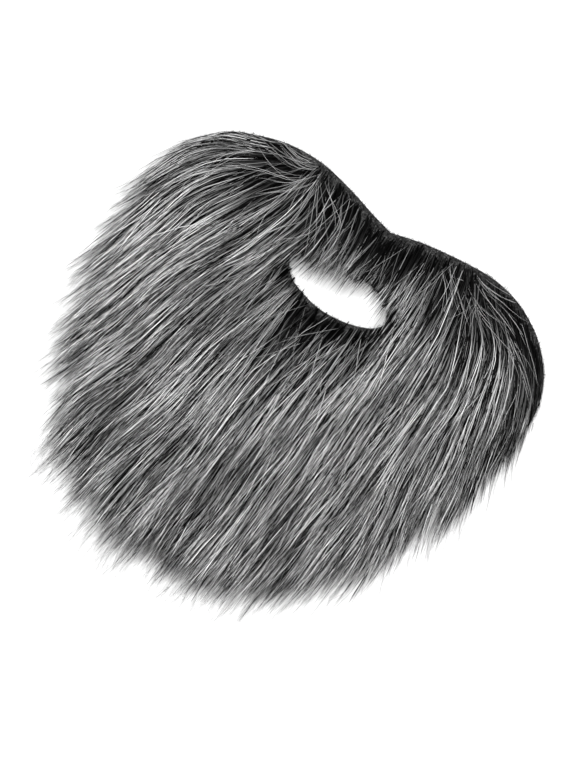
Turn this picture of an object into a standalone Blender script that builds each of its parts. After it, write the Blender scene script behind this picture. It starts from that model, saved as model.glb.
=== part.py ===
"""A fake beard of long-pile false fur, lying flat on its back with the hair up.

+Y runs up the beard to the nose, +Z out of the face, and +X to the right as seen from the front.
The origin is the middle of the beard's outline, on the surface that the cloth lies on.
The outlines are read from the notch under the nose, in millimetres, and moved to the origin.
"""

from math import cos, hypot, pi, radians, sin

import bmesh
import bpy
import numpy as np

MM = 0.001
# Points of one mesh nearer than this are one point.
WELD = 0.00001

# The cloth that the hair is knitted into, and the room that the hair leaves round it.
CLOTH_THICK = 2.0
SEAT_GAP = 0.3
RIM_GAP = 0.8

# The laid pile: its full depth over the cloth, and its depth where it starts and ends.
PILE_DEPTH = 19.0
ROOT_DEPTH = 2.4
TIP_DEPTH = 1.6
# How far from an edge the pile takes to reach its full depth.
TOP_RISE = 34.0
FRINGE_RISE = 74.0
LIP_RISE = 58.0
MOUSTACHE_RISE = 24.0
# Past the cloth's edge the hair lies on the floor, once it is this far out.
DROOP_LENGTH = 12.0

# The middle of the mouth opening, which the pile's sections fan out from.
MOUTH_AT = (-5.0, -49.0)
# The directions from there that part the moustache from the beard: where the parting leaves
# the mouth, and where it meets the outer edge. Each row: parting, at the edge, at the mouth.
PARTINGS = (
    ("right", 35.0, 12.0),
    ("top", 90.0, 90.0),
    ("left", 145.0, 168.0),
    ("bottom", 270.0, 270.0),
)
# The gap between the moustache and the beard.
PARTING_GAP = 0.4

# The degrees between sections, and each section's points as shares of the way across it.
SECTION_STEP = 3.2
ROWS = (0.0, 0.05, 0.12, 0.2, 0.3, 0.4, 0.5, 0.6, 0.7, 0.79, 0.87, 0.94, 1.0)
# The points that a smooth outline gets for each place in its table.
STEPS_PER_SPAN = 5

# Each row: place, x, y.
CLOTH_EDGE = (
    ("notch", 0, 0),
    ("right_lobe_start", 20, 6.5),
    ("right_lobe_rise", 44, 11.5),
    ("right_lobe_top", 67, 14),
    ("right_lobe_fall", 89, 10.5),
    ("right_sideburn_top", 111, -1),
    ("right_sideburn", 128, -20),
    ("right_jaw_top", 135, -45),
    ("right_jaw", 130, -80),
    ("right_jaw_low", 118, -118),
    ("right_chin", 96, -155),
    ("right_chin_low", 66, -181),
    ("chin_right", 34, -195),
    ("chin", 0, -199),
    ("chin_left", -36, -196),
    ("left_chin_low", -70, -183),
    ("left_chin", -99, -158),
    ("left_jaw_low", -117, -122),
    ("left_jaw", -126, -84),
    ("left_jaw_top", -127, -48),
    ("left_sideburn", -123, -24),
    ("left_temple", -115, -9),
    ("left_sideburn_top", -99, 0),
    ("left_lobe_fall", -80, 7),
    ("left_lobe_top", -58, 9.5),
    ("left_lobe_rise", -36, 7),
    ("left_lobe_start", -17, 3),
)
CLOTH_MOUTH = (
    ("left_corner", -41, -45),
    ("left_low", -33, -56),
    ("low_left", -20, -60.5),
    ("low", -6, -62),
    ("low_right", 10, -59.5),
    ("right_low", 24, -53.5),
    ("right_corner", 29.5, -46),
    ("right_high", 24, -38),
    ("high_right", 12, -33),
    ("high", -5, -32.5),
    ("high_left", -20, -33.5),
    ("left_high", -34, -38),
)
PILE_EDGE = (
    ("under_notch", 0, -4),
    ("right_lobe_start", 22, 2.5),
    ("right_lobe_rise", 46, 7.5),
    ("right_lobe_top", 67, 9.5),
    ("right_lobe_fall", 87, 6),
    ("right_sideburn_top", 107, -5),
    ("right_sideburn", 125, -24),
    ("right_jaw_top", 136, -50),
    ("right_jaw", 137, -86),
    ("right_jaw_low", 131, -124),
    ("right_chin", 117, -166),
    ("right_chin_low", 92, -206),
    ("fringe_right", 62, -233),
    ("fringe_middle_right", 26, -246),
    ("fringe_parting", -2, -250),
    ("fringe_tuft_right", -16, -259),
    ("fringe_tuft_left", -31, -259.5),
    ("fringe_middle_left", -48, -250),
    ("fringe_left", -78, -236),
    ("left_chin_low", -107, -206),
    ("left_chin", -127, -168),
    ("left_jaw_low", -138, -128),
    ("left_jaw", -142, -90),
    ("left_jaw_top", -140, -57),
    ("left_temple", -130, -29),
    ("left_sideburn", -116, -14),
    ("left_sideburn_top", -98, -4),
    ("left_lobe_fall", -79, 3),
    ("left_lobe_top", -58, 5.5),
    ("left_lobe_rise", -37, 3),
    ("left_lobe_start", -18, -1),
)
PILE_MOUTH = (
    ("left_corner", -38.5, -46.5),
    ("left_low", -32.5, -57.5),
    ("low_left", -20, -62),
    ("low", -6, -63.5),
    ("low_right", 10, -61.5),
    ("right_low", 22.5, -55.5),
    ("right_corner", 26.5, -48),
    ("right_high", 21, -42.5),
    ("high_right", 10, -40.5),
    ("high", -5, -40.5),
    ("high_left", -20, -41.5),
    ("left_high", -31, -42.5),
)
CORNERS = ("notch",)

# The dents between the main locks. Each row: place, x and y of its start and end, width, depth.
LOCK_DENTS = (
    ("left_cheek", -52, -70, -92, -150, 8.0, 3.2),
    ("left_chin", -74, -150, -98, -205, 9.0, 4.2),
    ("under_lip", -8, -68, -12, -128, 11.0, 3.4),
    ("right_chin", 48, -150, 62, -215, 9.0, 3.8),
    ("right_cheek", 70, -60, 96, -140, 8.0, 2.6),
    ("fringe_middle", -2, -200, -2, -246, 8.0, 2.4),
    ("left_parting", -62, -8, -98, -52, 7.0, 3.0),
    ("right_parting", 78, -6, 112, -58, 7.0, 2.8),
)


def smooth_loop(places):
    """A closed outline through the places, rounded everywhere but at the corners."""
    at = np.array([row[1:3] for row in places], float)
    sharp = [row[0] in CORNERS for row in places]
    count = len(at)
    outline = []
    for i in range(count):
        start, end = at[i], at[(i + 1) % count]
        before = 2 * start - end if sharp[i] else at[i - 1]
        after = 2 * end - start if sharp[(i + 1) % count] else at[(i + 2) % count]
        for step in range(STEPS_PER_SPAN):
            t = step / STEPS_PER_SPAN
            outline.append(
                0.5
                * (
                    2 * start
                    + (end - before) * t
                    + (2 * before - 5 * start + 4 * end - after) * t**2
                    + (3 * start - before - 3 * end + after) * t**3
                )
            )
    return np.array(outline)


cloth_edge = smooth_loop(CLOTH_EDGE)
cloth_mouth = smooth_loop(CLOTH_MOUTH)
pile_edge = smooth_loop(PILE_EDGE)
pile_mouth = smooth_loop(PILE_MOUTH)
both = np.concatenate([cloth_edge, pile_edge])
middle = (both.min(axis=0) + both.max(axis=0)) / 2


def placed(x, y, z):
    """A point read in millimetres from the notch, in metres from the origin."""
    return ((x - middle[0]) * MM, (y - middle[1]) * MM, z * MM)


def reach(outline, angle):
    """How far the outline is from the middle of the mouth, along a ray at this angle."""
    off = outline - np.array(MOUTH_AT)
    turns = np.degrees(np.arctan2(off[:, 1], off[:, 0]))
    return float(np.interp(angle, turns, np.hypot(off[:, 0], off[:, 1]), period=360.0))


def ramp(distance, rise):
    """0 at an edge and 1 from rise onwards, steep at first and level at the end."""
    return sin(pi / 2 * min(max(distance / rise, 0.0), 1.0))


def dents_at(x, y):
    """How deep the pile is parted here, between its main locks."""
    total = 0.0
    for _, x0, y0, x1, y1, width, depth in LOCK_DENTS:
        along, across = x1 - x0, y1 - y0
        length = hypot(along, across)
        t = ((x - x0) * along + (y - y0) * across) / length**2
        held = min(max(t, 0.0), 1.0)
        off = hypot(x - x0 - held * along, y - y0 - held * across)
        total += depth * np.exp(-((off / width) ** 2))
    return total


def on_ray(outline, angle):
    """Where the ray at this angle from the middle of the mouth meets the outline."""
    out = reach(outline, angle)
    return np.array(MOUTH_AT) + (out * cos(radians(angle)), out * sin(radians(angle)))


def mouth_angle(angle):
    """Where the section that ends at this angle starts, so that the moustache spans the mouth."""
    at_edge = [row[1] for row in PARTINGS]
    turned = [row[2] - row[1] for row in PARTINGS]
    return angle + float(np.interp(angle, at_edge, turned, period=360.0))


def pile_section(angle, aside=0.0):
    """The pile's section from the mouth to its edge, as points over the top, closed at the floor.

    It is moved aside by this much, anticlockwise round the mouth.
    """
    near = on_ray(pile_mouth, mouth_angle(angle))
    far = on_ray(pile_edge, angle)
    length = hypot(*(far - near))
    shift = aside / length * np.array((near[1] - far[1], far[0] - near[0]))
    near, far = near + shift, far + shift
    down = (1 - sin(radians(angle))) / 2
    outer_rise = TOP_RISE + (FRINGE_RISE - TOP_RISE) * down
    inner_rise = MOUSTACHE_RISE + (LIP_RISE - MOUSTACHE_RISE) * down
    outer_depth = ROOT_DEPTH + (TIP_DEPTH - ROOT_DEPTH) * down
    inner_depth = TIP_DEPTH + (ROOT_DEPTH - TIP_DEPTH) * down
    floor = CLOTH_THICK + SEAT_GAP
    past_cloth = max(reach(pile_edge, angle) - reach(cloth_edge, angle), 0.0)
    droop = floor * min(past_cloth / DROOP_LENGTH, 1.0)
    points = []
    for share in ROWS:
        x, y = near + (far - near) * share
        to_edge = length * (1 - share)
        full = ramp(to_edge, outer_rise) * ramp(length * share, inner_rise)
        edge_depth = inner_depth + (outer_depth - inner_depth) * share
        depth = edge_depth + (PILE_DEPTH - edge_depth) * full - dents_at(x, y) * full
        lower = droop * (1 - ramp(to_edge, max(past_cloth, 1.0)))
        points.append(placed(x, y, floor + depth - lower))
    first, last = points[0], points[-1]
    return [(first[0], first[1], 0.0), *points, (last[0], last[1], 0.0)]


def material(name, colour, roughness):
    made = bpy.data.materials.new(name)
    made.use_nodes = True
    shader = made.node_tree.nodes["Principled BSDF"]
    shader.inputs["Base Color"].default_value = (*colour, 1.0)
    shader.inputs["Roughness"].default_value = roughness
    shader.inputs["Metallic"].default_value = 0.0
    return made


def plate(name, outlines, low, high, into):
    """A flat sheet between two heights, cut to the first outline and pierced by the others."""
    curve = bpy.data.curves.new(name, "CURVE")
    curve.dimensions = "2D"
    curve.fill_mode = "BOTH"
    curve.extrude = (high - low) / 2 * MM
    for outline in outlines:
        spline = curve.splines.new("POLY")
        spline.points.add(len(outline) - 1)
        for point, (x, y) in zip(spline.points, outline):
            point.co = (*placed(x, y, 0)[:2], 0.0, 1.0)
        spline.use_cyclic_u = True
    made = bpy.data.objects.new(name, curve)
    made.location.z = (low + high) / 2 * MM
    into.objects.link(made)
    return made


def as_mesh(curve_object, into):
    """The curve object as a closed mesh, its caps welded to its sides."""
    bpy.context.view_layer.update()
    graph = bpy.context.evaluated_depsgraph_get()
    mesh = bpy.data.meshes.new_from_object(curve_object.evaluated_get(graph))
    form = bmesh.new()
    form.from_mesh(mesh)
    bmesh.ops.remove_doubles(form, verts=form.verts, dist=WELD)
    form.to_mesh(mesh)
    form.free()
    made = bpy.data.objects.new(curve_object.name + "_mesh", mesh)
    made.matrix_world = curve_object.matrix_world
    into.objects.link(made)
    bpy.data.objects.remove(curve_object)
    return made


def lofted(name, sections, into):
    """A closed solid through closed sections that all have the same number of points."""
    size = len(sections[0])
    points = [point for section in sections for point in section]
    faces = []
    for i in range(len(sections) - 1):
        for j in range(size):
            after = (j + 1) % size
            a, b = i * size + j, i * size + after
            faces.append((a, b, b + size, a + size))
    last = (len(sections) - 1) * size
    faces.append(tuple(range(size - 1, -1, -1)))
    faces.append(tuple(range(last, last + size)))
    mesh = bpy.data.meshes.new(name)
    mesh.from_pydata(points, [], faces)
    made = bpy.data.objects.new(name, mesh)
    into.objects.link(made)
    return made


def pile(name, start, end, pocket, into):
    """The pile between two rays, cut away where the cloth lies under it."""
    turns = np.linspace(start, end, round((end - start) / SECTION_STEP) + 1)
    sections = [pile_section(angle) for angle in turns[1:-1]]
    first = pile_section(start, PARTING_GAP / 2)
    last = pile_section(end, -PARTING_GAP / 2)
    made = lofted(name, [first, *sections, last], into)
    cut = made.modifiers.new("cloth_pocket", "BOOLEAN")
    cut.operation = "DIFFERENCE"
    cut.solver = "EXACT"
    cut.object = pocket
    return made


def main():
    for left_over in list(bpy.data.objects):
        bpy.data.objects.remove(left_over)
    beard = bpy.data.collections.new("fake_beard")
    cutters = bpy.data.collections.new("cutters")
    for collection in (beard, cutters):
        bpy.context.scene.collection.children.link(collection)

    cloth = plate("backing_cloth", (cloth_edge, cloth_mouth), 0.0, CLOTH_THICK, beard)
    cloth.data.materials.append(material("black_cloth", (0.012, 0.012, 0.012), 0.95))

    # The pocket has no mouth opening, so the hair over the opening stays clear of the floor.
    rim = [
        on_ray(cloth_edge, angle) + (RIM_GAP * cos(radians(angle)), RIM_GAP * sin(radians(angle)))
        for angle in range(0, 360, 2)
    ]
    pocket = plate("cloth_pocket", (rim,), -CLOTH_THICK, CLOTH_THICK + SEAT_GAP, cutters)
    pocket = as_mesh(pocket, cutters)
    pocket.hide_render = True
    pocket.display_type = "WIRE"

    grey_fur = material("grey_fur", (0.16, 0.16, 0.16), 0.6)
    right_parting, left_parting = PARTINGS[0][1], PARTINGS[2][1]
    zones = (
        ("moustache_fur", right_parting, left_parting),
        ("beard_fur", left_parting, right_parting + 360.0),
    )
    for name, start, end in zones:
        fur = pile(name, start, end, pocket, beard)
        fur.data.materials.append(grey_fur)


main()
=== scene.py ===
"""A fake beard of long grey false fur on black felt, lying flat with its hair up.

The hair's tables are in millimetres from the notch under the nose: x to the right as seen
from the front, y up. A lean is in degrees from straight down, to the right if positive.
"""

import bmesh
import bpy
import numpy as np
from mathutils import Matrix, Vector


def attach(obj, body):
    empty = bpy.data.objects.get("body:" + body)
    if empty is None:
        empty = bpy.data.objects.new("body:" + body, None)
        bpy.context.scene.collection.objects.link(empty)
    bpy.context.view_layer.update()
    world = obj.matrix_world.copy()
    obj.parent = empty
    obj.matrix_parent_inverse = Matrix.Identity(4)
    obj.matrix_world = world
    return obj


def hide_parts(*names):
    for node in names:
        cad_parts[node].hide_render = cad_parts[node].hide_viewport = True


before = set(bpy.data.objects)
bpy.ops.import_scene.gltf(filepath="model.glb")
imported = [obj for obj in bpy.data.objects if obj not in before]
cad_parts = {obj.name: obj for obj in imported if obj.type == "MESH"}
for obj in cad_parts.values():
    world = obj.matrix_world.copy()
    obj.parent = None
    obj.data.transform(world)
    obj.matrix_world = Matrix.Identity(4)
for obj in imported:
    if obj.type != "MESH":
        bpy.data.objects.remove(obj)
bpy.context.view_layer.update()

MM = 0.001

# The photograph's height in pixels, the millimetres that a pixel covers, how far the beard is
# turned clockwise in it, and the place on the beard at its middle.
PHOTO_HIGH = 768
PHOTO_SCALE = 0.6
PHOTO_TURN = 36.2
PHOTO_CENTRE = (3.9, -109.5)
CAMERA_HEIGHT = 1.5
SENSOR = 36.0

# The floor reaches this many metres each way, this far under the beard.
FLOOR_REACH = 6.0
FLOOR_DROP = 0.2

# The cloth, the rounding of its cut edge, and the angle past which an edge is a cut one.
CLOTH_THICK = 2.0
CLOTH_BEVEL = 0.55
CUT_ANGLE = 1.2
# The notch is looked for this near the middle of the cloth's top edge. Points of the cloth
# that are this near each other are one, and a face whose normal points this much up is on top.
NOTCH_WITHIN = 20
SAME_POINT = 0.01
UPWARD = 0.9

# The pile: its depth over the cloth, how far from its root a hair takes to rise into it, how
# much of its height it has there, and the hair's usual and shortest length.
PILE_DEPTH = 17.0
RISE_LENGTH = 15.0
RISE_AT_ROOT = 0.62
HAIR_LENGTH = 74.0
SHORTEST = 3
# How far inside its outline the hair starts to come down, how low it ends, and the curve of it.
FALL_LENGTH = 26.0
LOWEST_SHARE = 0.04
FALL_POWER = 0.7
# How far past the cloth's edge the hair sinks to the floor, its height over what it lies on,
# and how deep its roots are in the felt.
SINK_LENGTH = 8
CLEARANCE = 0.4
ROOT_DEPTH = 0.3
# How flat a strand is, as its height over its width, and how many sides it has.
STRAND_FLATNESS = 0.75
SIDES = 3
# The shortest and longest wave in a strand.
STRAND_WAVES = (26, 60)

# The locks that strands gather into: how far apart they are, how far apart their rows are
# and how far each is off its place, as shares of that.
LOCK_SPACING = 3.3
ROW_SPACING = 0.87
LOCK_SCATTER = 0.3
# How much a lock gathers its strands, the least and most of that, how it grows towards the
# tip, and where it stops.
LOCK_GATHER = 0.42
GATHER_RANGE = (0.4, 1.4)
GATHER_POWER = 1.3
GATHER_MOST = 0.95
# How the lie of the locks in degrees, their height, their shade and their ends in millimetres
# vary: in waves of these lengths, by this much with them, and by this much from lock to lock.
LIE_WAVES, LIE_SWING, LIE_SPREAD = (22, 70), 3.5, 2.6
HEIGHT_WAVES, HEIGHT_SWING, HEIGHT_SPREAD = (14, 50), 0.1, 0.06
SHADE_WAVES, SHADE_SWING, SHADE_SPREAD = (10, 44), 0.08, 0.05
END_WAVES, END_SWING, END_SPREAD = (10, 38), 5, 2.5
# The usual height of a lock as a share of the pile, and how much the locks' lengths vary.
LOCK_HEIGHT = 0.86
LENGTH_SPREAD = 0.06

# A hair's way over the beard: how far apart its points are, how many there are, how far along
# it the outline is looked for, and the distance that stands for never.
PATH_STEP = 4.0
PATH_STEPS = 26
FURTHEST = 96.0
NEVER = 1000.0

# Where the hair starts inside the cloth's edge and outside the mouth opening, and the least
# room that a root is given, so that no hair ends where it starts.
ROOT_MARGIN = 1.4
LIP_MARGIN = 0.4
ROOT_ROOM = 0.5
# How far the hair hangs over the mouth opening, or ends before it if less than 0, and how much
# that varies. Each row: x of its root, overhang.
OVERHANGS = ((-38, 1.0), (-30, 5.5), (-16, 5.0), (-5, 1.5), (4, -3.5), (12, -7.5), (24, -7.5))
MOUTH_SPREAD = 2.7
# The share of those hairs that hang further, how much further, and the furthest.
VEIL_SHARE = 0.3
VEIL = 7.5
MOUTH_FURTHEST = 20.0
# Where hair starts to end against the beard's outline, how far past that it goes, the share
# of hairs that go further, how much further, and the furthest.
OUTLINE_START = -19.5
OUTLINE_SPREAD = 8.5
LONG_SHARE = 0.2
LONG_SPREAD = 8.0
LONGEST = 16.0
# The outline is read off the solids in a fan this many degrees to each side.
FAN = 2.0

# The single hairs that reach furthest past the outline: how many for each millimetre of it,
# about how long a degree of it is, how deep inside it and how far off the cloth they start,
# how many steps back their roots are, the most of their length that is inside it, where their
# tips start and how far those spread, and how much they turn off the lean.
WISP_DENSITY = 2.5
DEGREE_LENGTH = 2.6
WISP_DEPTH = 14
WISP_OFF_CLOTH = 4
WISP_STEPS_BACK = 3
WISP_LENGTH = 26.0
WISP_START = -9.0
WISP_SPREAD = 12.0
WISP_TURN = 6.0

# The darkest and lightest shade of a strand in the coats, and how many steps its map has.
SHADE_LIMITS = (0.01, 0.79)
SHADES = 64
# Where a strand's map lies across its step, clear of the next ones.
MAP_LEFT, MAP_MIDDLE, MAP_RIGHT = 0.2, 0.5, 0.8
# How dark or light a shade is in the hair's material: its power, its gain and its least.
SHADE_POWER, SHADE_GAIN, SHADE_LEAST = 2.1, 3.7, 0.005

# The coats of hair, from the cloth up. Each row: coat, strands in a lock, rings in a strand,
# thickness, lowest and highest layer as shares of the pile, darkest and lightest shade, and
# how much further than OUTLINE_START it reaches.
COATS = (
    ("under", 1, 3, 1.2, 0.3, 0.72, 0.0, 0.1, -6),
    ("middle", 2, 5, 0.4, 0.55, 0.9, 0.0, 0.62, -1),
    ("over", 3, 6, 0.43, 0.8, 1.04, 0.0, 1.0, 1),
)
# How far a strand starts from the middle of its lock and the most that counts, as shares of
# LOCK_SPACING, and how much lower the lock is there.
STRAND_SPREAD = 0.46
OFF_MOST = 1.4
LOCK_DOME = 0.2
# How much a strand turns off its lock, the share that is loose, how much those turn, and how
# little they are gathered.
STRAND_TURN = 1.8
LOOSE_SHARE = 0.14
LOOSE_TURN = 8
LOOSE_GATHER = 0.2
# How much a strand's length varies, how thick it is, how it tapers, how thin the long ones
# are, and how much it curls.
STRAND_LENGTH_SPREAD = 0.09
COAT_THICKNESS = (0.6, 1.3)
COAT_TAPER, COAT_TAPER_POWER = 0.75, 2.2
LONG_THINNESS = 0.6
COAT_CURL = 0.5
# How much darker a strand is painted towards the side of its lock, as painted shade in the gaps
# where the locks part, and how much that varies at random.
LOCK_SIDE_SHADE = 0.5
DARKNESS_RANGE = (-0.2, 0.6)
# The share of a coat's hairs that are left dark, and what they keep of their shade: partly the
# fur's own dark hairs, partly painted shade for the gaps between hairs.
DARK_SHARE = 0.37
DARK_SHADE = 0.05
# Over the mouth opening, and from this far inside the outline, a strand thins out over these
# lengths, at most to this share of its thickness.
MOUTH_THINNING = 17.0
OUTLINE_THINNING_START = 3
OUTLINE_THINNING = 9.0
THINNEST = 0.25

# How the single hairs over the coats and past the outline look. Each has its rings, its
# thickness, what that varies by, how much it tapers and curls, its lowest and highest layer as
# shares of the pile, its shades, and where up its map it starts.
STRAY_LOOK = {
    "rings": 7,
    "thick": 0.16,
    "varies": (0.7, 1.2),
    "taper": 0.6,
    "curl": 2.2,
    "layers": (1.0, 1.12),
    "shades": (0.35, 0.74),
    "light_from": (0.42, 0.68),
}
WISP_LOOK = {
    "rings": 4,
    "thick": 0.32,
    "varies": (0.4, 1.2),
    "taper": 0.5,
    "curl": 3.0,
    "layers": (0.4, 0.9),
    "shades": (0.3, 0.7),
    "light_from": (0.45, 0.7),
}

# The seeds of the random draws. The coats count up from theirs.
LOCK_SEED, COAT_SEED, STRAY_SEED, WISP_SEED, FUZZ_SEED = 11, 20, 31, 37, 41

# The share of hairs that are light from low down, how far up their map they start, and how
# that rises with the share.
LIGHT_ROOTS = 0.22
LIGHT_FROM = (0.2, 0.6)
LIGHT_FROM_LEAST, LIGHT_FROM_RISE = 0.8, 0.7
# Where that share is more or less. Each row: place, x, y, reach, how much more.
LIGHT_ROOT_PLACES = (
    ("left_shoulder", -98, 0, 20, 0.5),
    ("left_band", -72, -14, 14, -0.25),
    ("lip_left", -26, -59, 9, 0.55),
    ("mouth_left", -46, -50, 9, 0.1),
    ("mouth_right", 36, -50, 12, 0.4),
    ("left_lobe_outer", -74, -2, 12, 0.1),
    ("left_crown", -58, -4, 20, -0.08),
    ("left_lobe", -34, -4, 14, -0.12),
    ("right_lobe", 44, -2, 22, -0.18),
    ("right_crown", 78, -2, 18, -0.1),
)

# Single light hairs that lie across the others. Each row: place, x, y, reach, hairs, how far
# they turn off the lean there, and how much that varies.
STRAYS = (
    ("left_shoulder", -92, -2, 16, 80, 0, 12),
    ("left_crown_side", -61, 3, 8, 36, -44, 14),
    ("left_crown", -57, 2, 7, 30, 4, 16),
    ("left_lobe", -30, 0, 13, 45, 0, 12),
    ("notch", 2, -10, 16, 36, 0, 10),
    ("lip", -15, -22, 14, 60, 0, 6),
    ("right_lobe", 30, -2, 16, 30, 0, 11),
    ("right_crown", 41, 5, 6, 20, 22, 26),
    ("right_band", 56, 5, 9, 18, 40, 9),
    ("right_crown_low", 63, 3, 7, 18, 0, 20),
    ("right_shoulder", 88, -3, 9, 34, 8, 12),
    ("right_temple", 112, -20, 14, 12, 6, 13),
    ("left_of_mouth", -43, -53, 8, 40, 0, 12),
    ("under_lip", 4, -70, 14, 32, 0, 18),
    ("under_lip_right", 20, -61, 7, 20, 0, 14),
    ("under_lip_left", -27, -57, 8, 120, 0, 6),
    ("left_cheek", -90, -70, 36, 100, 0, 8),
    ("right_cheek", 80, -80, 36, 100, 0, 8),
    ("chin", 0, -140, 60, 160, 0, 7),
)
# How closely a row's hairs keep to its reach, their lengths, and the share that hang further.
STRAY_CLOSENESS = 1.7
STRAY_LENGTHS = (20, 60)
STRAY_VEIL_SHARE = 0.6

# The short curled fibres on the felt where it shows: how many on each millimetre of its
# rim, how far in from it they start, their thickness and what it varies by, how much they
# curl, and the length and rise of each of their steps.
FUZZ_DENSITY = 11.0
FUZZ_DEPTH = 5.0
FUZZ_THICK = 0.24
FUZZ_THICKNESS = (0.7, 1.3)
FUZZ_CURL = 0.9
FUZZ_RINGS = 3
FUZZ_STEPS = (0.3, 0.8)
FUZZ_RISES = (-0.2, 0.5)
# Below this height the felt is under the hair.
FUZZ_LOWEST = -70

# Where the hair is lighter or darker. Each row: place, x, y, reach, change.
TONES = (
    ("under_lip", 2, -77, 17, -0.65),
    ("chin_top", -5, -99, 20, -0.8),
    ("right_of_lip", 32, -104, 16, 0.4),
    ("right_cheek_low", 86, -107, 16, -0.2),
    ("left_jaw", -104, -170, 13, -0.4),
    ("low_chin", -4, -224, 22, -0.22),
    ("left_chin_low", -60, -214, 16, -0.25),
    ("left_edge", -104, -6, 14, 0.8),
    ("left_shoulder", -94, -24, 15, -0.35),
    ("left_temple", -118, -26, 20, -0.5),
    ("left_upper", -96, -36, 22, -0.12),
    ("left_band", -80, -19, 13, -0.45),
    ("left_crown", -60, -14, 20, -0.68),
    ("left_lobe", -42, -23, 14, -0.65),
    ("moustache_left", -28, -30, 18, -0.6),
    ("moustache_middle", 2, -22, 17, -0.75),
    ("mouth_top_right", 27, -39, 9, 0.5),
    ("right_lip", 18, -22, 9, -0.35),
    ("mouth_left", -38, -52, 9, 0.3),
    ("notch", 0, -8, 24, -0.2),
    ("right_lobe", 46, -16, 20, -0.6),
    ("right_fan", 60, -3, 12, -0.3),
    ("right_crown", 78, -12, 16, -0.3),
    ("right_cheek", 92, -58, 22, 0.4),
    ("right_shoulder", 112, -20, 20, -0.7),
    ("right_temple", 124, -38, 16, -0.5),
    ("right_rim", 131, -64, 13, -0.5),
    ("right_rim_low", 118, -100, 12, -0.1),
    ("left_of_mouth", -77, -99, 12, -0.25),
    ("left_of_lip", -42, -94, 16, -0.9),
    ("left_of_chin", -44, -117, 9, -0.6),
    ("left_cheek", -112, -90, 28, 0.25),
    ("left_cheek_low", -112, -126, 22, 0.16),
    ("right_of_mouth", 46, -57, 13, 0.5),
    ("left_parting", -80, -188, 14, -0.45),
    ("chin_parting", 14, -178, 26, -0.3),
    ("right_parting", 62, -198, 14, -0.4),
    ("right_jaw", 104, -128, 11, -0.3),
    ("left_fringe", -114, -184, 22, 0.45),
    ("left_rim_top", -141, -74, 16, -0.5),
)

# Where hair goes further past the outline, or less far. Each row: place, x, y, reach, how much.
WISPS = (
    ("left_top", -119, -21, 13, 9),
    ("left_high", -140, -58, 9, 5),
    ("left_dip", -142, -96, 12, -4),
    ("left_low", -142, -120, 9, 3),
    ("left_chin", -130, -152, 16, -6),
    ("left_fringe", -102, -196, 20, -6),
    ("low_fringe", -55, -238, 16, 3),
    ("fringe", 24, -240, 22, 7),
    ("right_fringe", 88, -204, 16, -2),
    ("right_dip", 120, -146, 15, -8),
    ("right_tuft", 128, -118, 8, 7),
    ("right_edge", 134, -84, 12, -4),
    ("right_rim", 139, -58, 11, 6),
    ("right_top", 122, -30, 18, -4),
)

# The lean of the hair. Each row: place, x, y, lean.
LEANS = (
    ("notch", 0, -6, 0),
    ("lip_middle", 0, -28, -6),
    ("left_lobe_inner", -22, -4, 14),
    ("lip_left", -25, -25, 2),
    ("left_crown_inner", -42, -2, 26),
    ("left_crown", -58, -6, -8),
    ("left_lobe_outer", -76, -3, -60),
    ("left_shoulder", -98, -8, -64),
    ("left_temple", -117, -22, -45),
    ("left_temple_low", -120, -40, -27),
    ("left_cheek_top", -80, -24, -22),
    ("left_cheek_inner", -45, -45, -14),
    ("left_cheek", -80, -70, -25),
    ("left_cheek_outer", -115, -70, -12),
    ("left_rim_top", -140, -45, -20),
    ("left_rim", -146, -80, -20),
    ("left_rim_low", -140, -120, -16),
    ("left_jaw", -110, -100, -14),
    ("left_jaw_inner", -60, -100, -14),
    ("left_jaw_low", -75, -120, -9),
    ("left_chin_outer", -85, -165, -17),
    ("left_chin", -55, -165, -12),
    ("left_fringe", -80, -215, -8),
    ("chin_left", -35, -130, -3),
    ("under_lip", 0, -80, -1),
    ("chin", 0, -150, 0),
    ("fringe", -10, -230, -2),
    ("right_lobe_inner", 30, -8, 11),
    ("right_lobe", 60, -15, 12),
    ("right_crown", 80, -4, 50),
    ("right_shoulder", 102, -6, 48),
    ("right_temple", 120, -25, 29),
    ("right_temple_low", 137, -50, 21),
    ("right_cheek_top", 90, -35, 14),
    ("right_cheek_inner", 45, -45, 2),
    ("right_cheek", 80, -70, 2),
    ("right_cheek_outer", 120, -75, 13),
    ("right_rim", 140, -88, 26),
    ("right_rim_low", 130, -125, 20),
    ("right_jaw", 115, -115, 9),
    ("right_jaw_inner", 60, -120, 0),
    ("right_chin", 60, -180, 0),
    ("right_fringe", 70, -215, -3),
)
LEAN_REACH = 16.0


class Value:
    """A number that varies over a surface: an expression on it adds Math nodes."""

    def __init__(self, recipe, socket):
        self.recipe = recipe
        self.socket = socket

    def math(self, operation, other):
        return self.recipe.node("ShaderNodeMath", {"operation": operation}, {0: self, 1: other})

    def __add__(self, other):
        return self.math("ADD", other)

    __radd__ = __add__

    def __mul__(self, other):
        return self.math("MULTIPLY", other)

    __rmul__ = __mul__

    def __pow__(self, other):
        return self.math("POWER", other)


class Recipe:
    """A material in the making, with one shader whose sockets it sets."""

    def __init__(self, name, roughness, gloss=0.5):
        self.material = bpy.data.materials.new(name)
        self.material.use_nodes = True
        self.tree = self.material.node_tree
        self.shader = self.tree.nodes["Principled BSDF"]
        self.shader.inputs["Roughness"].default_value = roughness
        self.shader.inputs["Specular IOR Level"].default_value = gloss

    def node(self, kind, settings=None, values=None, output=0):
        """Adds a node: its settings first, then its sockets' values or links."""
        made = self.tree.nodes.new(kind)
        for key, value in (settings or {}).items():
            if key == "stops":
                set_stops(made.color_ramp, value)
            else:
                setattr(made, key, value)
        for key, value in (values or {}).items():
            self.feed(made.inputs[key], value)
        return Value(self, made.outputs[output])

    def feed(self, socket, value):
        if isinstance(value, Value):
            self.tree.links.new(value.socket, socket)
        else:
            socket.default_value = value

    def set(self, **inputs):
        for name, value in inputs.items():
            self.feed(self.shader.inputs[name.replace("_", " ")], value)
        return self.material


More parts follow.
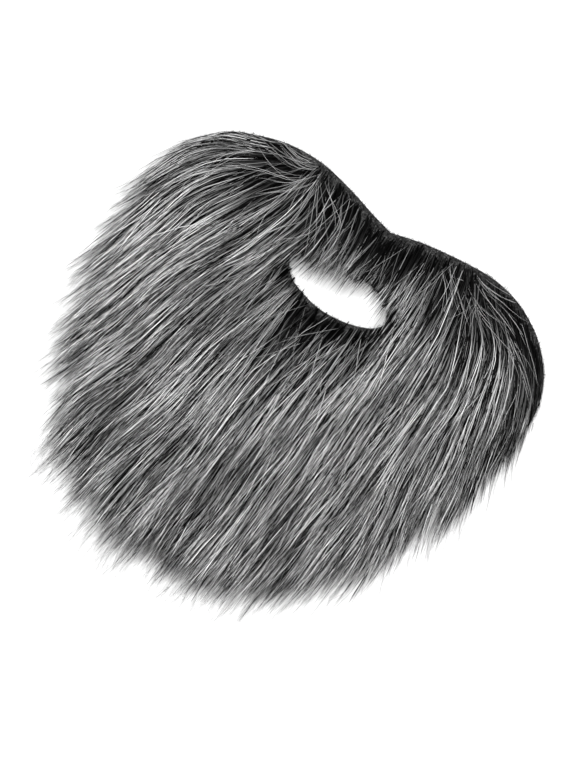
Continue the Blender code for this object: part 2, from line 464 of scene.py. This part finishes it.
def set_stops(ramp, stops):
    """Gives a colour ramp these stops, each a place and a grey."""
    while len(ramp.elements) < len(stops):
        ramp.elements.new(1.0)
    for element, (place, grey) in zip(ramp.elements, stops):
        element.position = place
        element.color = (grey, grey, grey, 1.0)


def hair_material():
    """Grey false hair, black at the root: dark or light across its map, root to tip up it."""
    made = Recipe("grey_hair", roughness=0.5, gloss=0.06)
    place = made.node("ShaderNodeUVMap", {"uv_map": "OFBake"})
    shade = made.node("ShaderNodeSeparateXYZ", values={0: place}, output=0)
    along = made.node("ShaderNodeSeparateXYZ", values={0: place}, output=1)
    stops = ((0.0, 0.004), (0.27, 0.02), (0.47, 0.12), (0.67, 0.36), (1.0, 0.47))
    tone = made.node("ShaderNodeValToRGB", {"stops": stops}, {0: along})
    gain = shade**SHADE_POWER * SHADE_GAIN + SHADE_LEAST
    colours = {"data_type": "RGBA", "blend_type": "MULTIPLY"}
    light = made.node("ShaderNodeMix", colours, {0: 1.0, 6: tone, 7: gain}, output=2)
    return made.set(Base_Color=light)


def felt_material():
    """Black felt, matted and a little uneven."""
    made = Recipe("black_felt", roughness=0.95, gloss=0.1)
    place = made.node("ShaderNodeTexCoord", output=3)
    fine = {"Vector": place, "Scale": 900.0, "Detail": 6.0}
    matting = made.node("ShaderNodeTexNoise", values=fine)
    coarse = {"Vector": place, "Scale": 210.0, "Detail": 3.0}
    tufts = made.node("ShaderNodeTexNoise", values=coarse)
    stops = ((0.38, 0.003), (0.55, 0.022), (0.68, 0.075))
    tone = made.node("ShaderNodeValToRGB", {"stops": stops}, {0: matting * 0.7 + tufts * 0.3})
    relief = {"Strength": 0.7, "Distance": 0.0006, "Height": matting + tufts}
    bump = made.node("ShaderNodeBump", values=relief)
    return made.set(Base_Color=tone, Normal=bump)


def fibre_material():
    """The felt's loose fibres, from black to dark grey across the map."""
    made = Recipe("felt_fibre", roughness=0.8, gloss=0.2)
    place = made.node("ShaderNodeUVMap", {"uv_map": "OFBake"})
    shade = made.node("ShaderNodeSeparateXYZ", values={0: place}, output=0)
    tone = made.node("ShaderNodeValToRGB", {"stops": ((0.0, 0.006), (1.0, 0.14))}, {0: shade})
    return made.set(Base_Color=tone)


def plain_material(name, colour, roughness):
    """A material of one colour, for the floor."""
    made = Recipe(name, roughness)
    return made.set(Base_Color=(*colour, 1.0))


def read_rims(node):
    """The outlines of a flat node's upper face, in millimetres, the longest first."""
    form = bmesh.new()
    form.from_mesh(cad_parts[node].data)
    bmesh.ops.remove_doubles(form, verts=form.verts, dist=SAME_POINT * MM)
    on_top = [sum(face.normal.z > UPWARD for face in edge.link_faces) for edge in form.edges]
    rim = [edge for edge, faces in zip(form.edges, on_top) if faces == 1]
    loops = []
    while rim:
        edge = rim.pop(0)
        start, at = edge.verts
        loop = [start.co.xy / MM, at.co.xy / MM]
        while at != start:
            edge = next(near for near in at.link_edges if near in rim)
            rim.remove(edge)
            at = edge.other_vert(at)
            loop.append(at.co.xy / MM)
        loops.append(np.array(loop[:-1]))
    form.free()
    return sorted(loops, key=len, reverse=True)


cloth_edge, cloth_mouth = read_rims("backing_cloth")
near_middle = cloth_edge[(abs(cloth_edge[:, 0]) < NOTCH_WITHIN) & (cloth_edge[:, 1] > 0)]
notch = near_middle[near_middle[:, 1].argmin()]
cloth_edge = cloth_edge - notch
cloth_mouth = cloth_mouth - notch


def inside(points, loop):
    """Whether each point is inside a closed outline."""
    within = np.zeros(len(points), bool)
    x, y = points.T
    for (x0, y0), (x1, y1) in zip(loop, np.roll(loop, -1, axis=0)):
        if y0 != y1:
            crosses = (y0 > y) != (y1 > y)
            within ^= crosses & (x < (x1 - x0) * (y - y0) / (y1 - y0) + x0)
    return within


def off_edge(points, loop):
    """How far each point is from a closed outline."""
    nearest = np.full(len(points), np.inf)
    for start, end in zip(loop, np.roll(loop, -1, axis=0)):
        along = end - start
        share = np.clip((points - start) @ along / (along @ along), 0, 1)
        nearest = np.minimum(nearest, np.hypot(*(points - start - share[:, None] * along).T))
    return nearest


def past_cloth(points):
    """How far each point is outside the cloth's outer edge, or 0 over the cloth."""
    flat = points.reshape(-1, 2)
    past = off_edge(flat, cloth_edge)
    past[inside(flat, cloth_edge)] = 0
    return past.reshape(points.shape[:-1])


def waves(rng, shortest, longest, count=14):
    """A smooth random field over the beard, mostly between -1 and 1."""
    turns = rng.uniform(0, 2 * np.pi, count)
    sizes = rng.uniform(shortest, longest, count)
    phases = rng.uniform(0, 2 * np.pi, count)
    ways = np.stack([np.cos(turns), np.sin(turns)]) * 2 * np.pi / sizes

    def field(points):
        return np.sin(points @ ways + phases).sum(axis=-1) / np.sqrt(count / 2) / 1.5

    return field


def chart(points, rows):
    """Adds up what a table's rows give at these points. Each: place, x, y, reach, amount."""
    total = np.zeros(points.shape[:-1])
    for _, x, y, reach, amount in rows:
        total += amount * np.exp(-((points - (x, y)) ** 2).sum(axis=-1) / reach**2)
    return total


def lean_at(points):
    """The lean of the hair at each point, in radians."""
    total = np.zeros(points.shape[:-1])
    weights = np.zeros(points.shape[:-1])
    for _, x, y, lean in LEANS:
        near = ((points - (x, y)) ** 2).sum(axis=-1)
        weight = 1 / (near + LEAN_REACH**2) ** 3
        total += weight * np.radians(lean)
        weights += weight
    return total / weights


def follow(roots, astray):
    """The way that hair takes over the beard from its roots, as points a step apart."""
    path = [roots]
    for _ in range(PATH_STEPS - 1):
        lean = lean_at(path[-1]) + astray
        path.append(path[-1] + PATH_STEP * np.stack([np.sin(lean), -np.cos(lean)], axis=-1))
    return np.stack(path, axis=1)


def along_path(path, far):
    """The points of each path at these distances along it."""
    step = np.clip(far / PATH_STEP, 0, PATH_STEPS - 1.001)
    whole = step.astype(int)
    part = (step - whole)[..., None]
    rows = np.arange(len(path))[:, None]
    return path[rows, whole] * (1 - part) + path[rows, whole + 1] * part


def mouth_room(path):
    """How far each point is from the mouth opening, less than 0 over it."""
    flat = path.reshape(-1, 2)
    room = off_edge(flat, cloth_mouth)
    room[inside(flat, cloth_mouth)] *= -1
    return room.reshape(path.shape[:-1])


def read_outline():
    """How far the hair reaches from the middle of the mouth, for each degree round it."""
    spots = []
    for node in ("beard_fur", "moustache_fur"):
        spots += [vertex.co.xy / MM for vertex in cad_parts[node].data.vertices]
    spots = np.array(spots) - notch - mouth_middle
    turns = np.degrees(np.arctan2(*spots.T[::-1])) % 360
    far = np.hypot(*spots.T)
    reach = [far[abs((turns - turn + 180) % 360 - 180) < FAN].max() for turn in range(360)]
    return np.array(reach)


mouth_middle = cloth_mouth.mean(axis=0)
hair_reach = read_outline()


def outline_room(points):
    """How far inside the hair's outline each point is, less than 0 past it."""
    off = points - mouth_middle
    turns = np.degrees(np.arctan2(off[..., 1], off[..., 0])) % 360
    reach = np.interp(turns, np.arange(360), hair_reach, period=360)
    room = reach - np.hypot(off[..., 0], off[..., 1])
    return np.where(past_cloth(points) == 0, np.maximum(room, ROOT_MARGIN), room)


def where_gone(room, allowance):
    """How far along each path its room and its allowance run out, or NEVER."""
    room = room + np.maximum(allowance, ROOT_ROOM - room[:, 0])[:, None]
    gone = (room[:, :-1] >= 0) & (room[:, 1:] < 0)
    step = gone.argmax(axis=1)
    rows = np.arange(len(room))
    before, after = room[rows, step], room[rows, step + 1]
    far = PATH_STEP * (step + np.clip(before / (before - after + 1e-9), 0, 1))
    return np.where(gone.any(axis=1), far, NEVER)


def strands_mesh(name, centres, thick, shades, light_from, material):
    """A mesh of closed tapered strands. centres has a row of points a strand, its tip last."""
    count, rings = len(centres), centres.shape[1] - 1
    ways = np.gradient(centres, axis=1)
    ways /= np.linalg.norm(ways, axis=2, keepdims=True)
    across = np.cross(ways, (0.0, 0.0, 1.0))
    across /= np.linalg.norm(across, axis=2, keepdims=True) + 1e-9
    up = np.cross(across, ways)
    turns = 2 * np.pi * (np.arange(SIDES) + 0.25) / SIDES
    spokes = np.cos(turns)[:, None] * across[:, :-1, None] + (
        STRAND_FLATNESS * np.sin(turns)[:, None] * up[:, :-1, None]
    )
    round_points = centres[:, :-1, None] + thick[:, :, None, None] / 2 * spokes
    points = np.concatenate([round_points.reshape(count, -1, 3), centres[:, -1:]], axis=1)
    points = points + (*notch, 0)

    faces, map_u, map_v = [(0, 1, 2)], [(MAP_LEFT, MAP_RIGHT, MAP_MIDDLE)], [(0.0, 0.0, 0.02)]
    for ring in range(rings):
        low, high = ring / rings, (ring + 1) / rings
        for side in range(SIDES):
            a, b = ring * SIDES + side, ring * SIDES + (side + 1) % SIDES
            if ring == rings - 1:
                faces.append((a, rings * SIDES, b))
                map_u.append((MAP_LEFT, MAP_MIDDLE, MAP_RIGHT))
                map_v.append((low, high, low))
                continue
            faces += [(a, b + SIDES, b), (a, a + SIDES, b + SIDES)]
            map_u += [(MAP_LEFT, MAP_RIGHT, MAP_RIGHT), (MAP_LEFT, MAP_LEFT, MAP_RIGHT)]
            map_v += [(low, high, low), (low, high, high)]
    corners = np.array(faces) + points.shape[1] * np.arange(count)[:, None, None]
    shade_bins = np.clip((shades * SHADES).astype(int), 0, SHADES - 1)
    u = (shade_bins[:, None, None] + np.array(map_u)) / SHADES
    v = light_from[:, None, None] + (1 - light_from[:, None, None]) * np.array(map_v)

    mesh = bpy.data.meshes.new(name)
    mesh.vertices.add(points.shape[0] * points.shape[1])
    mesh.vertices.foreach_set("co", (points * MM).astype(np.float32).ravel())
    total = corners.shape[0] * corners.shape[1]
    mesh.loops.add(3 * total)
    mesh.loops.foreach_set("vertex_index", corners.astype(np.int32).ravel())
    mesh.polygons.add(total)
    mesh.polygons.foreach_set("loop_start", np.arange(0, 3 * total, 3, dtype=np.int32))
    mesh.polygons.foreach_set("use_smooth", np.ones(total, bool))
    mesh.update(calc_edges=True)
    layer = mesh.uv_layers.new(name="OFBake")
    layer.uv.foreach_set("vector", np.stack([u, v], axis=-1).astype(np.float32).ravel())
    mesh.materials.append(material)
    made = bpy.data.objects.new(name, mesh)
    bpy.context.scene.collection.objects.link(made)
    return made


def scatter_locks(rng):
    """The roots of the locks, spread evenly over the cloth."""
    low, high = cloth_edge.min(axis=0), cloth_edge.max(axis=0)
    columns = int((high[0] - low[0]) / LOCK_SPACING)
    rows = int((high[1] - low[1]) / LOCK_SPACING / ROW_SPACING)
    spots = []
    for row in range(rows + 1):
        for column in range(columns + 1):
            spots.append((column + 0.5 * (row % 2), row * ROW_SPACING))
    scatter = rng.normal(0, LOCK_SCATTER * LOCK_SPACING, (len(spots), 2))
    roots = low + LOCK_SPACING * np.array(spots) + scatter
    keep = inside(roots, cloth_edge) & (off_edge(roots, cloth_edge) > ROOT_MARGIN)
    keep &= ~inside(roots, cloth_mouth) & (off_edge(roots, cloth_mouth) > LIP_MARGIN)
    return roots[keep]


class Locks:
    """The locks of the pile: where each starts, how it lies, and how high, light and long it is."""

    def __init__(self, rng):
        self.roots = scatter_locks(rng)
        count = len(self.roots)
        lie, swell = waves(rng, *LIE_WAVES), waves(rng, *HEIGHT_WAVES)
        sheen = waves(rng, *SHADE_WAVES)
        turned = LIE_SWING * lie(self.roots) + rng.normal(0, LIE_SPREAD, count)
        self.astray = np.radians(turned)
        self.path = follow(self.roots, self.astray)
        swells = LOCK_HEIGHT + HEIGHT_SWING * swell(self.roots)
        self.high = swells + rng.normal(0, HEIGHT_SPREAD, count)
        self.light = SHADE_SWING * sheen(self.roots) + rng.normal(0, SHADE_SPREAD, count)
        self.long = rng.normal(1, LENGTH_SPREAD, count)
        self.gather = LOCK_GATHER * rng.uniform(*GATHER_RANGE, count)
        ends = waves(rng, *END_WAVES)
        self.ragged = END_SWING * ends(self.roots) + rng.normal(0, END_SPREAD, count)


def lay_strands(rng, path, led, length, gather, rings, curl):
    """Points along each strand, drawn towards its lock, and how far along it each is."""
    share = np.linspace(0, 1, rings + 1)
    far = length[:, None] * share
    hold = np.clip(gather[:, None] * (far / HAIR_LENGTH) ** GATHER_POWER, 0, GATHER_MOST)
    own = along_path(path, far)
    flat = own + hold[..., None] * (along_path(led, far) - own)
    count = len(path)
    beat = rng.uniform(*STRAND_WAVES, count)[:, None]
    most = rng.normal(0, curl, count)[:, None]
    sway = most * np.sin(2 * np.pi * (far / beat + rng.random(count)[:, None]))
    lean = lean_at(flat)
    aside = np.stack([np.cos(lean), np.sin(lean)], axis=-1)
    return flat + (sway * far / HAIR_LENGTH)[..., None] * aside, far, share


def raise_strands(flat, far, share, high):
    """Adds the height of each point: a hair climbs over those below it, then comes down."""
    full = RISE_AT_ROOT + (1 - RISE_AT_ROOT) * share
    rise = (1 - np.exp(-far / RISE_LENGTH)) * full
    fall = np.clip(outline_room(flat) / FALL_LENGTH, LOWEST_SHARE, 1) ** FALL_POWER
    floor = CLOTH_THICK * np.clip(1 - past_cloth(flat) / SINK_LENGTH, 0, 1)
    tall = floor + CLEARANCE + PILE_DEPTH * high[:, None] * rise * fall
    tall[:, 0] = CLOTH_THICK - ROOT_DEPTH
    return np.concatenate([flat, tall[..., None]], axis=-1)


def trim(rng, path, length, more, veil_share=VEIL_SHARE):
    """Cuts hairs off at the mouth opening and the beard's outline, a few of them further out."""
    count = len(path)
    longer = (rng.random(count) < LONG_SHARE) * rng.exponential(LONG_SPREAD, count)
    at, overhang = np.array(OVERHANGS).T
    hang = np.interp(path[:, 0, 0], at, overhang) + rng.exponential(MOUTH_SPREAD, count)
    hang += (rng.random(count) < veil_share) * rng.exponential(VEIL, count)
    reached = where_gone(mouth_room(path), np.minimum(hang, 0))
    length = np.minimum(length, reached + np.clip(hang, 0, MOUTH_FURTHEST))
    room = outline_room(path)
    out = np.minimum(where_gone(room, 0), FURTHEST)
    spot = along_path(path, out[:, None])[:, 0]
    past = OUTLINE_START + more + chart(spot, WISPS)
    past = past + rng.exponential(OUTLINE_SPREAD, count) + longer
    length = np.minimum(length, where_gone(room, np.minimum(past, LONGEST)))
    return np.maximum(length, SHORTEST), longer


def thinned(points):
    """The share of its thickness that a strand keeps at each point."""
    mouth = mouth_room(points) / MOUTH_THINNING
    outline = (outline_room(points) - OUTLINE_THINNING_START) / OUTLINE_THINNING
    return np.clip(1 + np.minimum(mouth, outline), THINNEST, 1)


def light_starts(rng, share):
    """How far up its map each strand starts: most of them at their black root."""
    start = rng.uniform(*LIGHT_FROM, len(share)) * (LIGHT_FROM_LEAST + LIGHT_FROM_RISE * share)
    return np.where(rng.random(len(share)) < share, start, 0.0)


def grow_coat(locks, seed, strands, rings, thick, low, high, dark, light, more):
    """The strands of one coat: points, thickness, shade, how light the root is, and its lock."""
    rng = np.random.default_rng(seed)
    lock = np.repeat(np.arange(len(locks.roots)), strands)
    count = len(lock)
    spread = rng.normal(0, STRAND_SPREAD * LOCK_SPACING, (count, 2))
    off = np.clip(np.hypot(*spread.T) / LOCK_SPACING, 0, OFF_MOST)
    loose = rng.random(count) < LOOSE_SHARE
    turn = rng.normal(0, np.where(loose, LOOSE_TURN, STRAND_TURN))
    path = follow(locks.roots[lock] + spread, locks.astray[lock] + np.radians(turn))

    length = HAIR_LENGTH * locks.long[lock] * rng.normal(1, STRAND_LENGTH_SPREAD, count)
    length, longer = trim(rng, path, length, more + locks.ragged[lock])
    gather = locks.gather[lock] * np.where(loose, LOOSE_GATHER, 1.0)
    led = locks.path[lock]
    flat, far, share = lay_strands(rng, path, led, length, gather, rings, COAT_CURL)
    layer = locks.high[lock] * rng.uniform(low, high, count) * (1 - LOCK_DOME * off**2)
    centres = raise_strands(flat, far, share, layer)

    taper = 1 - COAT_TAPER * share[:-1] ** COAT_TAPER_POWER
    width = thick * rng.uniform(*COAT_THICKNESS, count)[:, None] * taper
    width *= np.where(longer > 1, LONG_THINNESS, 1.0)[:, None] * thinned(flat[:, :-1])
    # Painted shade: a strand is darker the further from the middle of its lock it starts, where the
    # locks part, with a random spread of tone on top.
    darker = np.clip(LOCK_SIDE_SHADE * off + rng.uniform(*DARKNESS_RANGE, count), 0, 1)
    shades = light + (dark - light) * darker
    # Near-black hairs: partly the fur's own dark hairs, partly painted shade in the gaps between
    # hairs.
    shades *= np.where(rng.random(count) < DARK_SHARE, DARK_SHADE, 1.0)
    shades *= 1 + locks.light[lock] + chart(flat[:, -2], TONES)
    light_from = light_starts(rng, LIGHT_ROOTS + chart(flat[:, 0], LIGHT_ROOT_PLACES))
    return centres, width, np.clip(shades, *SHADE_LIMITS), light_from, locks.roots[lock]


def lay_singles(
    rng, path, length, *, rings, thick, varies, taper, curl, layers, shades, light_from
):
    """Hairs that belong to no lock, given as grow_coat gives a coat's."""
    count = len(path)
    flat, far, share = lay_strands(rng, path, path, length, np.zeros(count), rings, curl)
    centres = raise_strands(flat, far, share, rng.uniform(*layers, count))
    width = thick * rng.uniform(*varies, count)[:, None] * (1 - taper * share[:-1] ** 2)
    shade = rng.uniform(*shades, count)
    return centres, width, shade, rng.uniform(*light_from, count), path[:, 0]


def grow_strays():
    """Single thin light hairs over the coats."""
    rng = np.random.default_rng(STRAY_SEED)
    roots, turns = [], []
    for _, x, y, reach, hairs, turn, spread in STRAYS:
        roots.append(rng.normal((x, y), reach / STRAY_CLOSENESS, (hairs, 2)))
        turns.append(rng.normal(turn, spread, hairs))
    roots, turns = np.concatenate(roots), np.radians(np.concatenate(turns))
    keep = inside(roots, cloth_edge) & (off_edge(roots, cloth_edge) > ROOT_MARGIN)
    keep &= ~inside(roots, cloth_mouth)
    path = follow(roots[keep], turns[keep])
    length = rng.uniform(*STRAY_LENGTHS, len(path))
    length, _ = trim(rng, path, length, 0, STRAY_VEIL_SHARE)
    return lay_singles(rng, path, length, **STRAY_LOOK)


def grow_wisps():
    """Single hairs past the outline, fewer and fewer further out."""
    rng = np.random.default_rng(WISP_SEED)
    turns = rng.uniform(0, 360, int(WISP_DENSITY * 360 * DEGREE_LENGTH))
    reach = np.interp(turns, np.arange(360), hair_reach, period=360)
    reach = reach - rng.uniform(0, WISP_DEPTH, len(turns))
    ways = np.stack([np.cos(np.radians(turns)), np.sin(np.radians(turns))], axis=1)
    starts = mouth_middle + reach[:, None] * ways
    back = follow(starts, np.full(len(starts), np.pi))
    keep = past_cloth(starts) > WISP_OFF_CLOTH
    roots = back[keep, WISP_STEPS_BACK]
    count = len(roots)
    path = follow(roots, np.radians(rng.normal(0, WISP_TURN, count)))
    out = WISP_START + chart(starts[keep], WISPS) + rng.exponential(WISP_SPREAD, count)
    far = where_gone(outline_room(path), np.minimum(out, LONGEST))
    length = np.minimum(far, WISP_LENGTH + LONGEST)
    return lay_singles(rng, path, length, **WISP_LOOK)


# Each row: place, lowest and highest x and y of its locks' roots, the CAD node it stands for.
PLACES = (
    ("moustache", -48, 38, -36, 20, "moustache_fur"),
    ("left", -200, -50, -260, 20, "beard_fur"),
    ("chin", -50, 40, -260, 20, "beard_fur"),
    ("right", 40, 200, -260, 20, "beard_fur"),
)


def make_coat(coat, centres, width, shades, light_from, roots, material):
    """The pieces of one coat, a mesh for each place that it has strands in."""
    left = np.ones(len(roots), bool)
    x, y = roots.T
    for place, x0, x1, y0, y1, node in PLACES:
        here = left & (x >= x0) & (x < x1) & (y >= y0) & (y < y1)
        left &= ~here
        if not here.any():
            continue
        strands = (centres[here], width[here], shades[here], light_from[here])
        made = strands_mesh(f"{place}_{coat}_hair", *strands, material)
        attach(made, "root")
        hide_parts(node)


def make_hair(material):
    """The whole pile, coat by coat."""
    locks = Locks(np.random.default_rng(LOCK_SEED))
    for seed, (coat, *how) in enumerate(COATS):
        make_coat(coat, *grow_coat(locks, COAT_SEED + seed, *how), material)
    make_coat("stray", *grow_strays(), material)
    make_coat("wisp", *grow_wisps(), material)


def grow_fuzz():
    """The felt's own fibres along its top edge and round the mouth hole, each a small curl."""
    rng = np.random.default_rng(FUZZ_SEED)
    starts = []
    for loop, lowest in ((cloth_edge, FUZZ_LOWEST), (cloth_mouth, -np.inf)):
        for here, there in zip(loop, np.roll(loop, -1, axis=0)):
            if here[1] > lowest:
                count = rng.poisson(FUZZ_DENSITY * np.hypot(*(there - here)))
                starts.append(here + rng.random((count, 1)) * (there - here))
    starts = np.concatenate(starts)
    off = rng.uniform(-FUZZ_DEPTH, FUZZ_DEPTH, starts.shape)
    starts = starts + off * rng.random((len(starts), 1))
    keep = inside(starts, cloth_edge) & ~inside(starts, cloth_mouth)
    starts = starts[keep]
    count = len(starts)
    step = rng.uniform(*FUZZ_STEPS, count)
    turn = rng.uniform(0, 2 * np.pi, count)
    curl = rng.normal(0, FUZZ_CURL, count)
    points = [np.concatenate([starts, np.full((count, 1), CLOTH_THICK - ROOT_DEPTH)], axis=1)]
    for _ in range(FUZZ_RINGS):
        way = np.stack([np.cos(turn), np.sin(turn), rng.uniform(*FUZZ_RISES, count)], axis=1)
        points.append(points[-1] + step[:, None] * way)
        turn = turn + curl
    centres = np.stack(points, axis=1)
    centres[..., 2] = np.maximum(centres[..., 2], FUZZ_THICK)
    width = FUZZ_THICK * rng.uniform(*FUZZ_THICKNESS, count)[:, None] * np.ones(FUZZ_RINGS)
    return centres, width, rng.random(count) ** 2, np.zeros(count)


def make_cloth(material):
    """The felt that carries the hair: a flat sheet with a soft cut edge."""
    form = bmesh.new()
    edges = []
    for loop in (cloth_edge, cloth_mouth):
        verts = [form.verts.new((x * MM, y * MM, 0.0)) for x, y in loop + notch]
        edges += [form.edges.new((a, b)) for a, b in zip(verts, verts[1:] + verts[:1])]
    bmesh.ops.triangle_fill(form, use_beauty=True, edges=edges, normal=(0, 0, 1))
    bmesh.ops.recalc_face_normals(form, faces=form.faces)
    if sum(face.normal.z for face in form.faces) > 0:
        bmesh.ops.reverse_faces(form, faces=form.faces)
    sheet = list(form.faces)
    grown = bmesh.ops.extrude_face_region(form, geom=sheet)
    top = [item for item in grown["geom"] if isinstance(item, bmesh.types.BMVert)]
    bmesh.ops.translate(form, verts=top, vec=(0, 0, CLOTH_THICK * MM))
    bmesh.ops.recalc_face_normals(form, faces=form.faces)
    cut = [edge for edge in form.edges if edge.calc_face_angle(0) > CUT_ANGLE]
    bevel = {"offset": CLOTH_BEVEL * MM, "segments": 2, "profile": 0.5}
    bmesh.ops.bevel(form, geom=cut, affect="EDGES", material=-1, **bevel)
    mesh = bpy.data.meshes.new("felt_backing")
    form.to_mesh(mesh)
    form.free()
    mesh.materials.append(material)
    made = bpy.data.objects.new("felt_backing", mesh)
    bpy.context.scene.collection.objects.link(made)
    return made


def make_stage():
    """A pale floor just under the beard."""
    floor = bpy.data.meshes.new("floor")
    form = bmesh.new()
    bmesh.ops.create_grid(form, x_segments=1, y_segments=1, size=FLOOR_REACH)
    bmesh.ops.translate(form, verts=form.verts, vec=(0, 0, -FLOOR_DROP * MM))
    form.to_mesh(floor)
    form.free()
    floor.materials.append(plain_material("pale_floor", (0.62, 0.62, 0.62), 0.9))
    made = bpy.data.objects.new("floor", floor)
    bpy.context.scene.collection.objects.link(made)


def add_light(name, place, size, power):
    """A round soft light that faces the beard."""
    data = bpy.data.lights.new(name, "AREA")
    data.shape = "DISK"
    data.size = size
    data.energy = power
    made = bpy.data.objects.new(name, data)
    made.location = place
    made.rotation_mode = "QUATERNION"
    made.rotation_quaternion = (-Vector(place)).to_track_quat("-Z", "Y")
    bpy.context.scene.collection.objects.link(made)


def make_camera():
    """Straight above the beard, turned as the photograph shows it."""
    data = bpy.data.cameras.new("camera")
    data.sensor_fit = "VERTICAL"
    data.sensor_height = SENSOR
    data.lens = SENSOR * CAMERA_HEIGHT / (PHOTO_HIGH * PHOTO_SCALE * MM)
    made = bpy.data.objects.new("camera", data)
    turn = Matrix.Rotation(np.radians(PHOTO_TURN), 4, "Z")
    x, y = (np.array(PHOTO_CENTRE) + notch) * MM
    made.matrix_world = Matrix.Translation((x, y, CAMERA_HEIGHT)) @ turn
    bpy.context.scene.collection.objects.link(made)
    bpy.context.scene.camera = made


def light_studio():
    """A key light, a fill and an even pale sky."""
    add_light("key", (-0.9, 0.9, 1.9), 0.9, 76)
    add_light("fill", (1.2, -0.6, 1.8), 1.6, 30)
    world = bpy.data.worlds.new("studio")
    world.use_nodes = True
    sky = world.node_tree.nodes["Background"]
    sky.inputs["Color"].default_value = (1, 1, 1, 1)
    sky.inputs["Strength"].default_value = 0.6
    bpy.context.scene.world = world
    bpy.context.scene.view_settings.view_transform = "Standard"


def main():
    make_camera()
    make_stage()
    cloth = make_cloth(felt_material())
    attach(cloth, "root")
    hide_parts("backing_cloth")
    make_hair(hair_material())
    fuzz = strands_mesh("felt_fuzz", *grow_fuzz(), fibre_material())
    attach(fuzz, "root")
    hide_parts("backing_cloth")
    light_studio()


main()
